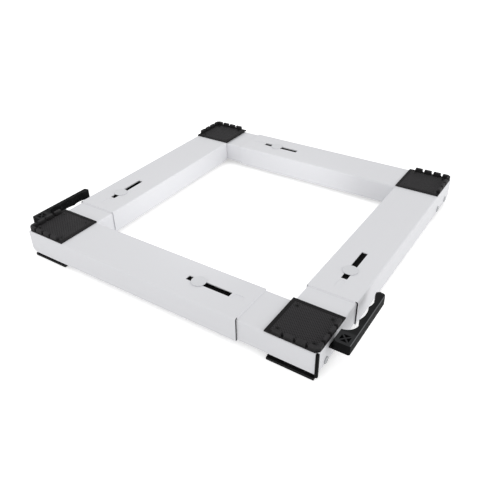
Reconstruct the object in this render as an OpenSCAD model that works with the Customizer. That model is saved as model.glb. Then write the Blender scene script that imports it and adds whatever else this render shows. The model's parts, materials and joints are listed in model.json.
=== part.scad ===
/* [Frame] */
// Width over the side rails, as set
frame_w = 600; // [575:1:680]
// Depth over the front and back rails, as set
frame_d = 606; // [590:1:680]
// Width of an outer rail sleeve
rail_w = 88; // [86:1:94]
// Height of the sleeves' top face above the floor
rail_top = 53; // [52:0.5:56]
// Thickness of the rail sheet
sheet = 1.5; // [1:0.1:1.8]
// Outside radius of the rails' top bends
bend_r = 3; // [2.5:0.5:4]
// Gap between a sleeve and the channel that slides in it
slide_gap = 0.5; // [0.4:0.1:0.8]
// Height of the sleeves' lower edge above the floor
sleeve_low = 8.5; // [8:0.5:9.5]
// Height of the channels' lower edge above the floor
channel_low = 11; // [10.5:0.5:12.5]
// Width of the inturned lips along the lower edges
lip_w = 9; // [5:1:12]
// Distance from the front right corner to the end of the front sleeve
front_seam = 137; // [130:1:160]
// Distance from the front right corner to the end of the right sleeve
right_seam = 131; // [126:1:156]
// Distance from the front left corner to the end of the left sleeve
left_seam = 131; // [126:1:156]
// Distance from the back left corner to the end of the back sleeve
back_seam = 128; // [126:1:160]
// Length of every inner channel
channel_len = 405; // [395:1:420]
// Length of sheet left off the outer walls where two channels meet at a corner
corner_notch = 5.2; // [5:0.2:6]
// Radius of the lower corner of a sleeve's wall, at the frame's corner
wall_corner_r = 10; // [4:1:12]

/* [Length locks] */
// Length of the slot in each sleeve
slot_len = 85; // [70:1:100]
// Width of the slot in each sleeve
slot_w = 11; // [10:0.5:14]
// Distance from the front sleeve's open end to its slot
front_slot_gap = 38; // [36:0.5:60]
// Distance from the open end of the other sleeves to their slots
slot_gap = 43.5; // [38:0.5:60]
// Place of the front lock along its slot, from the open end
front_lock_at = 62; // [12:1:72]
// Place of the right lock along its slot, from the open end
right_lock_at = 25; // [12:1:72]
// Place of the left lock along its slot, from the open end
left_lock_at = 24; // [12:1:72]
// Place of the back lock along its slot, from the open end
back_lock_at = 32; // [12:1:72]
// Diameter of a lock knob
knob_d = 26; // [20:1:30]
// Thickness of a lock knob
knob_h = 1.6; // [1.4:0.2:4]
// Diameter of the knob's screw
knob_screw_d = 5; // [4:0.5:6]
// Distance from a channel's corner to its rack window
window_from = 137; // [130:1:137]
// Width of a rack
rack_w = 24; // [20:1:30]
// Height of a rack
rack_h = 3.6; // [3:0.2:5]
// Spacing of the rack teeth
rack_pitch = 4; // [3:0.5:6]
// Height of the rack teeth
rack_tooth_h = 1.5; // [1:0.1:1.6]
// Depth of the pressed bead between the slot and the sleeve's end
bead_deep = 0.6; // [0.3:0.1:0.8]
// Width of that bead
bead_w = 12; // [8:1:14]

/* [Corners] */
// Radius of a roller
roller_r = 17; // [15:0.5:18]
// Width of a roller
roller_w = 30; // [24:1:34]
// Diameter of a roller's axle
axle_d = 6; // [5:0.5:8]
// Diameter of an axle's head
axle_head_d = 12; // [10:1:15]
// Distance from the front edge to the first axle
front_axle_at = 31; // [30:0.5:33]
// Distance from the back edge to the last axle
back_axle_at = 24; // [23:0.5:28]
// Distance from the front or back edge to the inner axle
inner_axle_at = 72; // [70:0.5:74]
// Length of a corner block along the side rail
block_len = 93; // [91:0.5:96]
// Height of the corner blocks' lower edge
block_low = 11.5; // [11:0.5:13]

/* [Pads] */
// Thickness of a pad's plate
pad_t = 2.4; // [2:0.2:4]
// Number of teeth along each outer edge of a pad
tooth_n = 4; // [3:1:4]
// Spacing of the pad's teeth
tooth_pitch = 19.3; // [17:0.1:20]
// Length of one tooth
tooth_len = 14; // [10:0.5:15]
// Depth of one tooth, from the pad's edge inwards
tooth_deep = 6; // [4:0.5:8]
// Height of the teeth above the plate
tooth_h = 7; // [4:0.5:9]
// How much wider a tooth is at its foot, on each side
tooth_taper = 1.3; // [0.5:0.1:1.4]
// Distance from the pad's edges to its screws
pad_screw_in = 14.5; // [14:0.5:16]
// Diameter of a pad screw
pad_screw_d = 3.6; // [3:0.2:4]
// Length of a pad screw with its head
pad_screw_len = 17; // [14:0.5:18]

/* [Brake] */
// Distance from the side rail's outer face to the lever's pivot
pivot_out = 17.5; // [17.5:0.5:20]
// Distance from the front edge to the lever's pivot
pivot_back = 46; // [45:0.5:47]
// Gap between the side rail's outer face and the lever's hub
lever_gap = 4.5; // [4:0.1:4.6]
// Diameter of the lever's pivot bolt
pivot_d = 6; // [5:0.5:6]
// Height of the lever's lower face above the floor
lever_low = 39.5; // [38:0.5:40]
// Thickness of the lever
lever_t = 17; // [16.5:0.5:18]
// Distance from the front edge to the lever's far end
lever_end = 169; // [166:1:180]
// Distance from the pivot to the brake slide's arm, along the side rail
drive_side = 8; // [8:0.1:8.4]
// Distance from the pivot to the drive pin with the lever folded in, across the side rail
drive_in = 8; // [7.6:0.1:8.2]
// Travel of the brake slide over the lever's quarter turn
slide_travel = 5.5; // [5:0.1:5.6]
// Travel of the brake foot over the lever's quarter turn
foot_travel = 3.5; // [2.5:0.1:3.5]
// Thickness of the brake foot's plate
foot_t = 6; // [5:0.2:6]

/* [Hidden] */
$fn = 64;

white_paint = [0.93, 0.93, 0.94];
black_plastic = [0.13, 0.13, 0.14];
black_rubber = [0.16, 0.16, 0.17];
grey_nylon = [0.35, 0.35, 0.37];
bright_steel = [0.72, 0.73, 0.75];

// Small gaps, each used for one kind of seat
seat_gap = 0.3;
run_gap = 0.05;
mitre_gap = 0.2;
past = 1;

// Sleeve lengths follow from the frame and the seams
front_sleeve_len = frame_w - front_seam;
back_sleeve_len = frame_w - back_seam;
right_sleeve_len = frame_d - right_seam;
left_sleeve_len = frame_d - left_seam;

// Heights that follow from the rails
inset = sheet + slide_gap;
channel_top = rail_top - inset;
under_sleeve = rail_top - sheet;
under_channel = channel_top - sheet;
block_top = under_channel - seat_gap;

// Places across a rail, measured from its outer face
rail_mid = rail_w / 2;
block_in = inset + sheet + seat_gap;
block_edge = rail_w - block_in;

// Places along a rail's channel, from the channel's own corner
window_to = channel_len - 18;
window_w = slot_w + 3.4;
rack_over = 6;
rack_trough_w = window_w - 1;
rack_low = under_channel - rack_h;

// Lock block, in the slot and in the window below it
neck_w = slot_w - 2 * seat_gap;
neck_len = 16;
flange_w = window_w - 2 * seat_gap - 0.2;
flange_len = 18;
flange_t = 1.5;
flange_top = under_sleeve - seat_gap;
knob_low = rail_top + 0.2;
knob_rim = 0.7;

// Places of the locks along their sleeves, from each sleeve's own corner
front_lock_place = front_sleeve_len - front_slot_gap - front_lock_at;
back_lock_place = back_sleeve_len - slot_gap - back_lock_at;
right_lock_place = right_sleeve_len - slot_gap - right_lock_at;
left_lock_place = left_sleeve_len - slot_gap - left_lock_at;

// Brake: the block's tongue and the slide's arm lie side by side under the lever
under_gap = 0.2;
tongue_t = 3.4;
tongue_low = lever_low - under_gap - tongue_t;
tongue_r = 9;
bolt_deep = 13;
bolt_head_t = 1.8;
arm_w = 6;
tongue_side = drive_side - arm_w / 2 - seat_gap;
arm_t = 3.4;
arm_low = lever_low - seat_gap - arm_t;
arm_past = 3;
slide_at = pivot_back + drive_side;
drive_pin_d = 3.6;
drive_pin_h = 4;
groove_over = 4;
plate_t = 3.8;
plate_past = 5;
plate_under = 4.5;
ear_gap = 0.5;
ear_t = 3.4;
ear_over = 4;
foot_pin_d = 5;
foot_pin_in = 17.5;
foot_pin_z = 25;
slide_plate_from = foot_pin_in - plate_past;
slide_plate_to = foot_pin_in + slide_travel + plate_past;
slide_plate_low = foot_pin_z - plate_under;
hub_half = pivot_out - lever_gap;
lever_taper = 1;

// Finger scoops of the lever: place across, place along and radius, measured from the pivot
scoops = [[-14, 34, 19], [-40.4, 63.5, 44.5], [-28.6, 93.5, 32.3]];

// The slide's pocket in the corner block, with a neck for its arm
pocket_half = plate_t / 2 + ear_gap + ear_t + 1.7;
pocket_from = slide_plate_from - slide_travel - 0.5;
pocket_to = slide_plate_to + 0.7;

// Inside the corner blocks: walls, roller pockets and the pad screws' lower ends
block_wall = 3;
roller_mid = rail_mid + 3;
roller_from = roller_mid - roller_w / 2 - 1;
roller_to = roller_mid + roller_w / 2 + 1;
screw_low = rail_top + pad_t - pad_screw_len;

// Rounded-top outline of a rail, w wide and h high
module bent_outline(w, h, r) {
    square([w, h - r]);
    translate([r, 0]) square([w - 2 * r, h]);
    for (x = [r, w - r]) translate([x, h - r]) circle(r);
}

// Section of a rail with its two walls and its bends, open below
module rail_section(w, h) {
    difference() {
        bent_outline(w, h, bend_r);
        translate([sheet, -past]) bent_outline(w - 2 * sheet, h - sheet + past, bend_r - sheet);
    }
}

// Block shape from one corner to the other
module slab(from, to) {
    translate(from) cube(to - from);
}

// Round rod along X, from a to b
module rod_x(a, b, d) {
    translate([a, 0, 0]) rotate([0, 90, 0]) cylinder(h = b - a, d = d);
}

// Flat shape with round ends along X, from a to b, w wide
module round_slot(a, b, w, h) {
    translate([a + w / 2, -w / 2, 0]) cube([b - a - w, w, h]);
    for (x = [a + w / 2, b - w / 2]) translate([x, 0, 0]) cylinder(h = h, d = w);
}

// The four places of the pad screws
module at_pad_screws() {
    for (x = [pad_screw_in, rail_w - pad_screw_in], y = [pad_screw_in, rail_w - pad_screw_in])
        translate([x, y, 0]) children();
}

// Puts a corner shape at its corner: X and Y run inwards from the outer edges
module at_corner(sx, sy) {
    translate([sx * frame_w / 2, sy * frame_d / 2, 0])
        mirror([max(sx, 0), 0, 0]) mirror([0, max(sy, 0), 0]) children();
}

// Turns a rail that runs along X into one that runs along Y
module side_rail() {
    mirror([1, -1, 0]) children();
}

// Rail along X from its corner, with a mitred end and lips beyond the corner
module rail(from_edge, top, low, length) {
    w = rail_w - 2 * from_edge;
    difference() {
        translate([0, from_edge, low]) rotate([90, 0, 90]) linear_extrude(length) rail_section(w, top - low);
        translate([0, 0, low - past]) linear_extrude(top - low + 2 * past)
            polygon([
                [-past, -past - mitre_gap], [-past, rail_w + past],
                [rail_w + past + mitre_gap, rail_w + past]
            ]);
    }
    lip_from = block_len + 4;
    for (y = [from_edge + sheet / 2, from_edge + w - sheet / 2 - lip_w])
        slab([lip_from, y, low], [length, y + lip_w, low + sheet]);
}

// Sleeve with its slot a gap away from the open end
module sleeve(length, gap) {
    slot_from = length - gap - slot_len;
    slot_to = length - gap;
    bead_from = slot_to + 4;
    bead_to = length - 14;
    difference() {
        rail(0, rail_top, sleeve_low, length);
        slab([slot_from, rail_mid - slot_w / 2, under_sleeve - past],
             [slot_to, rail_mid + slot_w / 2, rail_top + past]);
        translate([0, rail_mid, rail_top - bead_deep])
            round_slot(bead_from, bead_to, bead_w, bead_deep + past);
        difference() {
            slab([-past, -past, sleeve_low - past], [wall_corner_r, sheet, sleeve_low + wall_corner_r]);
            translate([wall_corner_r, 2 * sheet, sleeve_low + wall_corner_r]) rotate([90, 0, 0])
                cylinder(h = 4 * sheet, r = wall_corner_r);
        }
    }
}

module channel() {
    difference() {
        rail(inset, channel_top, channel_low, channel_len);
        slab([window_from, rail_mid - window_w / 2, under_channel - past],
             [window_to, rail_mid + window_w / 2, channel_top + past]);
    }
}

// Holes that the corner's fasteners and axles need in a rail
module screw_holes() {
    at_pad_screws() translate([0, 0, under_channel - past])
        cylinder(h = rail_top - under_channel + 2 * past, d = pad_screw_d + 2 * seat_gap);
}

module axle_holes(outer_at) {
    for (y = [outer_at, inner_axle_at]) translate([0, y, roller_r])
        rod_x(-past, block_in, axle_d + 2 * seat_gap);
}

// Window in the side rail's outer wall for the block's tongue and the slide's arm
module brake_window() {
    slab([-past, pivot_back - tongue_r - seat_gap, arm_low - seat_gap],
         [block_in, slide_at + arm_w / 2 + seat_gap, lever_low]);
}

module notch() {
    slab([-past, -past, 0], [corner_notch, corner_notch, rail_top]);
}

module front_rail_sleeve() {
    color(white_paint) at_corner(-1, -1) difference() {
        sleeve(front_sleeve_len, front_slot_gap);
        screw_holes();
    }
}

module front_rail_channel() {
    color(white_paint) at_corner(1, -1) difference() {
        channel();
        screw_holes();
        notch();
    }
}

module back_rail_sleeve() {
    color(white_paint) at_corner(1, 1) difference() {
        sleeve(back_sleeve_len, slot_gap);
        screw_holes();
    }
}

module back_rail_channel() {
    color(white_paint) at_corner(-1, 1) difference() {
        channel();
        screw_holes();
    }
}

module right_rail_sleeve() {
    color(white_paint) at_corner(1, 1) difference() {
        side_rail() sleeve(right_sleeve_len, slot_gap);
        screw_holes();
        axle_holes(back_axle_at);
    }
}

module left_rail_sleeve() {
    color(white_paint) at_corner(-1, 1) difference() {
        side_rail() sleeve(left_sleeve_len, slot_gap);
        screw_holes();
        axle_holes(back_axle_at);
    }
}

module right_rail_channel() {
    color(white_paint) at_corner(1, -1) difference() {
        side_rail() difference() {
            channel();
            notch();
        }
        screw_holes();
        axle_holes(front_axle_at);
        brake_window();
    }
}

module left_rail_channel() {
    color(white_paint) at_corner(-1, -1) difference() {
        side_rail() channel();
        screw_holes();
        axle_holes(front_axle_at);
        brake_window();
    }
}

// Toothed strip under a channel's window
module rack() {
    from = window_from - rack_over;
    to = window_to + rack_over;
    rim_w = (rack_w - rack_trough_w) / 2;
    root = under_channel - 0.6 - rack_tooth_h;
    teeth = floor((to - from) / rack_pitch);
    for (y = [rail_mid - rack_w / 2, rail_mid + rack_trough_w / 2])
        slab([from, y, rack_low], [to, y + rim_w, under_channel]);
    translate([0, rail_mid + rack_trough_w / 2, 0]) rotate([90, 0, 0]) linear_extrude(rack_trough_w)
        polygon(concat(
            [[to, rack_low], [from, rack_low], [from, root]],
            [for (k = [0 : teeth - 1], p = [0, 1])
                [from + (k + p / 2) * rack_pitch, root + p * rack_tooth_h]],
            [[to, root]]
        ));
}

module front_rack() {
    color(black_plastic) at_corner(1, -1) rack();
}

module right_rack() {
    color(black_plastic) at_corner(1, -1) side_rail() rack();
}

module left_rack() {
    color(black_plastic) at_corner(-1, -1) side_rail() rack();
}

module back_rack() {
    color(black_plastic) at_corner(-1, 1) rack();
}

// Nut block that slides in a sleeve's slot, at a distance along the sleeve
module lock_block(at) {
    translate([at, rail_mid, 0]) difference() {
        union() {
            slab([-flange_len / 2, -flange_w / 2, flange_top - flange_t],
                 [flange_len / 2, flange_w / 2, flange_top]);
            slab([-neck_len / 2, -neck_w / 2, flange_top], [neck_len / 2, neck_w / 2, rail_top - 0.1]);
        }
        translate([0, 0, flange_top - flange_t - past]) cylinder(h = 9, d = knob_screw_d + 2 * run_gap);
    }
}

// Round knob with a bevelled rim on its screw
module lock_knob(at) {
    translate([at, rail_mid, 0]) {
        translate([0, 0, knob_low]) cylinder(h = knob_h - knob_rim, d = knob_d);
        translate([0, 0, knob_low + knob_h - knob_rim])
            cylinder(h = knob_rim, d1 = knob_d, d2 = knob_d - 4 * knob_rim);
        translate([0, 0, flange_top - flange_t])
            cylinder(h = knob_low - flange_top + flange_t, d = knob_screw_d);
    }
}

module front_lock_block() {
    color(black_plastic) at_corner(-1, -1) lock_block(front_lock_place);
}

module back_lock_block() {
    color(black_plastic) at_corner(1, 1) lock_block(back_lock_place);
}

module right_lock_block() {
    color(black_plastic) at_corner(1, 1) side_rail() lock_block(right_lock_place);
}

module left_lock_block() {
    color(black_plastic) at_corner(-1, 1) side_rail() lock_block(left_lock_place);
}

module front_lock_knob() {
    color(white_paint) at_corner(-1, -1) lock_knob(front_lock_place);
}

module back_lock_knob() {
    color(white_paint) at_corner(1, 1) lock_knob(back_lock_place);
}

module right_lock_knob() {
    color(white_paint) at_corner(1, 1) side_rail() lock_knob(right_lock_place);
}

module left_lock_knob() {
    color(white_paint) at_corner(-1, 1) side_rail() lock_knob(left_lock_place);
}

// Half of the corner square, on the side of the rail along X
module x_half(low, high, from, to) {
    translate([0, 0, low]) linear_extrude(high - low)
        polygon([[from + mitre_gap, from], [to, from], [to, to - mitre_gap]]);
}

// Post that fills the corner where the outer walls of two channels stop short
module corner_post() {
    edge = 0.6;
    to = corner_notch - seat_gap;
    r = 2;
    low = channel_low - 4.5;
    translate([0, 0, low]) linear_extrude(channel_top - seat_gap - low) {
        translate([edge + r, edge + r]) circle(r);
        translate([edge + r, edge]) square([to - edge - r, to - edge]);
        translate([edge, edge + r]) square([to - edge, to - edge - r]);
    }
}

// Cells in the block's underside that leave ribs under the axles and bosses round the screws
module block_cells(outer_at) {
    rib = axle_d / 2 + 2;
    roof = block_top - 5;
    rows = [
        [block_in + block_wall, outer_at - rib], [outer_at + rib, inner_axle_at - rib],
        [inner_axle_at + rib, block_len - block_wall]
    ];
    difference() {
        for (k = [0 : 2]) {
            if (k != 1)
                slab([block_in + block_wall, rows[k][0], 0], [roller_from - block_wall, rows[k][1], roof]);
            slab([roller_to + block_wall, rows[k][0], 0], [block_edge - block_wall, rows[k][1], roof]);
        }
        at_pad_screws() translate([0, 0, screw_low - 3]) cylinder(h = rail_top, d = pad_screw_d + 6);
    }
}

// Tongue that carries the lever outside the rail, flat on the side where the slide's arm runs
module brake_tongue() {
    translate([0, pivot_back, tongue_low]) linear_extrude(tongue_t) intersection() {
        union() {
            translate([-pivot_out, -tongue_r]) square([pivot_out + block_in + past, 2 * tongue_r]);
            translate([-pivot_out, 0]) circle(tongue_r);
        }
        translate([-2 * pivot_out, -2 * tongue_r])
            square([3 * pivot_out, 2 * tongue_r + tongue_side]);
    }
}

// Moulded block inside a corner: pockets for the rollers, bosses for the screws
module corner_block(outer_at, x_sleeve, y_sleeve, brake, post) {
    pocket_r = roller_r + 1.2;
    from = block_in + bend_r / 2;
    to = block_edge - bend_r / 2;
    high = under_sleeve - seat_gap;
    difference() {
        union() {
            slab([block_in, block_in, block_low], [block_edge, block_len, block_top - bend_r / 2]);
            slab([from, from, block_low], [to, block_len, block_top]);
            if (x_sleeve) x_half(block_top - past, high, from, to);
            if (y_sleeve) side_rail() x_half(block_top - past, high, from, to);
            if (brake) brake_tongue();
            if (post) corner_post();
        }
        for (y = [outer_at, inner_axle_at]) {
            translate([0, y, roller_r]) {
                rod_x(roller_from, roller_to, 2 * pocket_r);
                rod_x(-past, block_edge - block_wall, axle_d + 2 * run_gap);
            }
            slab([roller_from, y - pocket_r, 0], [roller_to, y + pocket_r, roller_r]);
        }
        block_cells(outer_at);
        at_pad_screws() translate([0, 0, screw_low - past])
            cylinder(h = rail_top, d = pad_screw_d + 2 * run_gap);
        if (brake) {
            slab([pocket_from, slide_at - pocket_half, 0], [pocket_to, slide_at + pocket_half, lever_low]);
            slab([0, slide_at - arm_w / 2 - seat_gap, arm_low - seat_gap],
                 [pocket_to, slide_at + arm_w / 2 + seat_gap, lever_low]);
            translate([-pivot_out, pivot_back, 0]) cylinder(h = rail_top, d = pivot_d + 2 * run_gap);
        }
    }
}

module front_left_corner_block() {
    color(black_plastic) at_corner(-1, -1) corner_block(front_axle_at, true, false, true, false);
}

module front_right_corner_block() {
    color(black_plastic) at_corner(1, -1) corner_block(front_axle_at, false, false, true, true);
}

module back_left_corner_block() {
    color(black_plastic) at_corner(-1, 1) corner_block(back_axle_at, false, true, false, false);
}

module back_right_corner_block() {
    color(black_plastic) at_corner(1, 1) corner_block(back_axle_at, true, true, false, false);
}

// Pad with a row of upright teeth along both outer edges
module pad(x_sleeve, y_sleeve) {
    edge = 0.6;
    cut = 6;
    sink = 1.9;
    top = rail_top + pad_t;
    difference() {
        union() {
            translate([0, 0, rail_top]) linear_extrude(pad_t) pad_outline(edge, cut);
            if (!x_sleeve) x_half(channel_top, rail_top, inset + bend_r, rail_w - inset);
            if (!y_sleeve) side_rail() x_half(channel_top, rail_top, inset + bend_r, rail_w - inset);
            translate([0, 0, top]) intersection() {
                linear_extrude(tooth_h) pad_outline(edge, cut);
                union() {
                    tooth_row(edge);
                    side_rail() tooth_row(edge);
                }
            }
        }
        at_pad_screws() {
            translate([0, 0, channel_top - past]) cylinder(h = 9, d = pad_screw_d + 2 * run_gap);
            translate([0, 0, top - sink])
                cylinder(h = sink, r1 = pad_screw_d / 2 + run_gap, r2 = pad_screw_d + seat_gap);
        }
    }
}

module pad_outline(edge, cut) {
    polygon([[edge + cut, edge], [rail_w, edge], [rail_w, rail_w], [edge, rail_w], [edge, edge + cut]]);
}

// Teeth along X, each narrower at its top
module tooth_row(edge) {
    half = tooth_len / 2;
    foot = half + tooth_taper;
    for (k = [0 : tooth_n - 1])
        translate([(k + 0.5) * tooth_pitch, edge + tooth_deep, 0]) rotate([90, 0, 0])
            linear_extrude(tooth_deep) polygon([[-foot, 0], [foot, 0], [half, tooth_h], [-half, tooth_h]]);
}

module front_left_pad() {
    color(black_rubber) at_corner(-1, -1) pad(true, false);
}

module front_right_pad() {
    color(black_rubber) at_corner(1, -1) pad(false, false);
}

module back_left_pad() {
    color(black_rubber) at_corner(-1, 1) pad(false, true);
}

module back_right_pad() {
    color(black_rubber) at_corner(1, 1) pad(true, true);
}

// Countersunk screws that hold pad, rails and block together
module pad_screws() {
    head = 1.7;
    head_low = rail_top + pad_t - head - 0.1;
    at_pad_screws() {
        translate([0, 0, screw_low]) cylinder(h = head_low - screw_low, d = pad_screw_d);
        translate([0, 0, head_low]) cylinder(h = head, r1 = pad_screw_d / 2, r2 = pad_screw_d);
    }
}

module front_left_pad_screws() {
    color(black_plastic) at_corner(-1, -1) pad_screws();
}

module front_right_pad_screws() {
    color(black_plastic) at_corner(1, -1) pad_screws();
}

module back_left_pad_screws() {
    color(black_plastic) at_corner(-1, 1) pad_screws();
}

module back_right_pad_screws() {
    color(black_plastic) at_corner(1, 1) pad_screws();
}

// Two axles with flat heads on the side rail's outer wall
module axles(outer_at, wall_at) {
    head_t = 1.3;
    for (y = [outer_at, inner_axle_at]) translate([0, y, roller_r]) {
        rod_x(wall_at - 0.1 - head_t, wall_at - 0.1, axle_head_d);
        rod_x(wall_at - 0.2, block_edge - 4, axle_d);
    }
}

module front_left_axles() {
    color(bright_steel) at_corner(-1, -1) axles(front_axle_at, inset);
}

module front_right_axles() {
    color(bright_steel) at_corner(1, -1) axles(front_axle_at, inset);
}

module back_left_axles() {
    color(bright_steel) at_corner(-1, 1) axles(back_axle_at, 0);
}

module back_right_axles() {
    color(bright_steel) at_corner(1, 1) axles(back_axle_at, 0);
}

// Roller with a sunk face round its hub at both ends
module roller(at) {
    from = roller_from + 1;
    to = roller_to - 1;
    sunk = 2;
    translate([0, at, roller_r]) difference() {
        rod_x(from, to, 2 * roller_r);
        rod_x(from - past, to + past, axle_d + 2 * run_gap);
        for (x = [from - past, to - sunk]) difference() {
            rod_x(x, x + sunk + past, 2 * roller_r - 7);
            rod_x(x, x + sunk + past, axle_d + 7);
        }
    }
}

module front_left_outer_roller() {
    color(grey_nylon) at_corner(-1, -1) roller(front_axle_at);
}

module front_left_inner_roller() {
    color(grey_nylon) at_corner(-1, -1) roller(inner_axle_at);
}

module front_right_outer_roller() {
    color(grey_nylon) at_corner(1, -1) roller(front_axle_at);
}

module front_right_inner_roller() {
    color(grey_nylon) at_corner(1, -1) roller(inner_axle_at);
}

module back_left_outer_roller() {
    color(grey_nylon) at_corner(-1, 1) roller(back_axle_at);
}

module back_left_inner_roller() {
    color(grey_nylon) at_corner(-1, 1) roller(inner_axle_at);
}

module back_right_outer_roller() {
    color(grey_nylon) at_corner(1, 1) roller(back_axle_at);
}

module back_right_inner_roller() {
    color(grey_nylon) at_corner(1, 1) roller(inner_axle_at);
}

// Place of the drive pin, seen by the lever when it has turned by so many degrees
function pin_place(turn) =
    let (x = -drive_in + slide_travel * turn / 90)
    [x * cos(turn) - drive_side * sin(turn), x * sin(turn) + drive_side * cos(turn)];

// The same place pushed sideways by off, square to the pin's way
function groove_point(turn, off) =
    let (way = pin_place(turn + 1) - pin_place(turn - 1))
    pin_place(turn) + off / norm(way) * [way[1], -way[0]];

// Curved groove in the lever's lower face, about the pivot
module drive_groove() {
    half = drive_pin_d / 2 + seat_gap;
    steps = 14;
    turns = [for (k = [0 : steps]) -groove_over + (90 + 2 * groove_over) * k / steps];
    polygon(concat(
        [for (k = [0 : steps]) groove_point(turns[k], half)],
        [for (k = [steps : -1 : 0]) groove_point(turns[k], -half)]
    ));
    for (t = [turns[0], turns[steps]]) translate(pin_place(t)) circle(half);
}

// Outline of the lever seen from above: hub, scooped grip and blunt end, about the pivot
module lever_outline() {
    front = -12.5;
    back = 15;
    grip = 0;
    tip = lever_end - pivot_back;
    difference() {
        polygon([
            [-hub_half, front + 4], [-hub_half + 4, front], [hub_half - 2, front], [hub_half, front + 2],
            [hub_half - lever_taper, tip - 5], [hub_half - lever_taper - 2.5, tip - 1.5],
            [grip + 1.5, tip], [grip - 2.8, tip - 4.5], [grip - 1.5, tip - 14], [grip, back + 30],
            [-hub_half, back]
        ]);
        for (c = scoops) translate([c[0], c[1]]) circle(c[2]);
    }
}

// Lever: solid hub with a ribbed star pocket above and the drive groove below
module lever() {
    star_half = 7.4;
    star_deep = 2.4;
    rib_t = 2.4;
    bevel = 1.6;
    tilt = atan2(lever_taper, lever_end - pivot_back);
    top = lever_low + lever_t;
    translate([-pivot_out, pivot_back, 0]) mirror([1, 0, 0]) difference() {
        translate([0, 0, lever_low]) linear_extrude(lever_t) lever_outline();
        translate([0, 0, lever_low - past])
            linear_extrude(drive_pin_h + seat_gap + past) drive_groove();
        translate([0, 0, lever_low - past])
            cylinder(h = bolt_deep + seat_gap + past, d = pivot_d + 2 * run_gap);
        translate([0, 0, top - star_deep]) linear_extrude(star_deep + past) difference() {
            square(2 * star_half, center = true);
            for (a = [45, 135]) rotate(a) square([4 * star_half, rib_t], center = true);
        }
        translate([hub_half, 0, top]) rotate([0, 0, tilt]) rotate([0, 45, 0])
            cube([bevel, 3 * lever_end, bevel], center = true);
    }
}

module front_left_lever() {
    color(black_plastic) at_corner(-1, -1) lever();
}

module front_right_lever() {
    color(black_plastic) at_corner(1, -1) lever();
}

// Pivot bolt, put in from below through the tongue
module lever_bolt() {
    head_low = tongue_low - under_gap - bolt_head_t;
    translate([-pivot_out, pivot_back, head_low]) {
        cylinder(h = bolt_head_t, d = pivot_d + 4);
        cylinder(h = lever_low + bolt_deep - head_low, d = pivot_d);
    }
}

module front_left_lever_bolt() {
    color(bright_steel) at_corner(-1, -1) lever_bolt();
}

module front_right_lever_bolt() {
    color(bright_steel) at_corner(1, -1) lever_bolt();
}

// Slide that the lever's groove pushes: flat arm, drive pin and plate with a sloping slot
module brake_slide() {
    pin_at = drive_in - pivot_out;
    arm_high = arm_low + arm_t;
    slot_d = foot_pin_d + 2 * seat_gap;
    slope = atan2(foot_travel, slide_travel);
    travel = norm([foot_travel, slide_travel]);
    difference() {
        union() {
            slab([pin_at - arm_past, slide_at - arm_w / 2, arm_low],
                 [slide_plate_to, slide_at + arm_w / 2, arm_high]);
            slab([slide_plate_from, slide_at - plate_t / 2, slide_plate_low],
                 [slide_plate_to, slide_at + plate_t / 2, arm_high]);
            translate([pin_at, slide_at, arm_low])
                cylinder(h = lever_low + drive_pin_h - arm_low, d = drive_pin_d);
        }
        translate([foot_pin_in, slide_at + plate_t, foot_pin_z]) rotate([90, -slope, 0]) {
            translate([-seat_gap, -slot_d / 2, 0]) cube([travel + 2 * seat_gap, slot_d, 2 * plate_t]);
            for (x = [-seat_gap, travel + seat_gap]) translate([x, 0, 0])
                cylinder(h = 2 * plate_t, d = slot_d);
        }
    }
}

module front_left_brake_slide() {
    color(bright_steel) at_corner(-1, -1) brake_slide();
}

module front_right_brake_slide() {
    color(bright_steel) at_corner(1, -1) brake_slide();
}

// Brake foot: a horseshoe plate round the front roller, with a lip under the front rail's wall,
// and ears with a cross pin for the slide
module brake_foot() {
    front = block_in + 0.2;
    lip_front = 0.3;
    lip_t = sleeve_low - foot_travel - seat_gap;
    from = 5.5;
    to = rail_w - 4;
    arm_in = 24;
    arm_back = slide_at + 8;
    ear_from = plate_t / 2 + ear_gap;
    ear_high = foot_pin_z + ear_over;
    slab([from, lip_front, 0], [to, front + past, lip_t]);
    slab([from, front, 0], [to, 12.5, foot_t]);
    slab([from + 2.5, front, 0], [arm_in, arm_back, foot_t]);
    slab([to - 14, front, 0], [to - 4, arm_back, foot_t]);
    for (s = [-1, 1]) {
        y = slide_at + s * (ear_from + ear_t / 2);
        slab([foot_pin_in - plate_past, y - ear_t / 2, foot_t - past],
             [foot_pin_in + plate_past, y + ear_t / 2, ear_high]);
    }
    translate([foot_pin_in, slide_at + ear_from + ear_t / 2, foot_pin_z]) rotate([90, 0, 0])
        cylinder(h = 2 * ear_from + ear_t, d = foot_pin_d);
}

module front_left_brake_foot() {
    color(black_rubber) at_corner(-1, -1) brake_foot();
}

module front_right_brake_foot() {
    color(black_rubber) at_corner(1, -1) brake_foot();
}

front_rail_sleeve();
front_rail_channel();
right_rail_sleeve();
right_rail_channel();
left_rail_sleeve();
left_rail_channel();
back_rail_sleeve();
back_rail_channel();
front_rack();
right_rack();
left_rack();
back_rack();
front_lock_block();
right_lock_block();
left_lock_block();
back_lock_block();
front_lock_knob();
right_lock_knob();
left_lock_knob();
back_lock_knob();
front_left_corner_block();
front_right_corner_block();
back_left_corner_block();
back_right_corner_block();
front_left_pad();
front_right_pad();
back_left_pad();
back_right_pad();
front_left_pad_screws();
front_right_pad_screws();
back_left_pad_screws();
back_right_pad_screws();
front_left_axles();
front_right_axles();
back_left_axles();
back_right_axles();
front_left_outer_roller();
front_left_inner_roller();
front_right_outer_roller();
front_right_inner_roller();
back_left_outer_roller();
back_left_inner_roller();
back_right_outer_roller();
back_right_inner_roller();
front_left_lever();
front_right_lever();
front_left_lever_bolt();
front_right_lever_bolt();
front_left_brake_slide();
front_right_brake_slide();
front_left_brake_foot();
front_right_brake_foot();
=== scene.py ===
"""Washing machine stand: finishes, moulded pieces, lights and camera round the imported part."""

import json
import math

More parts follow.
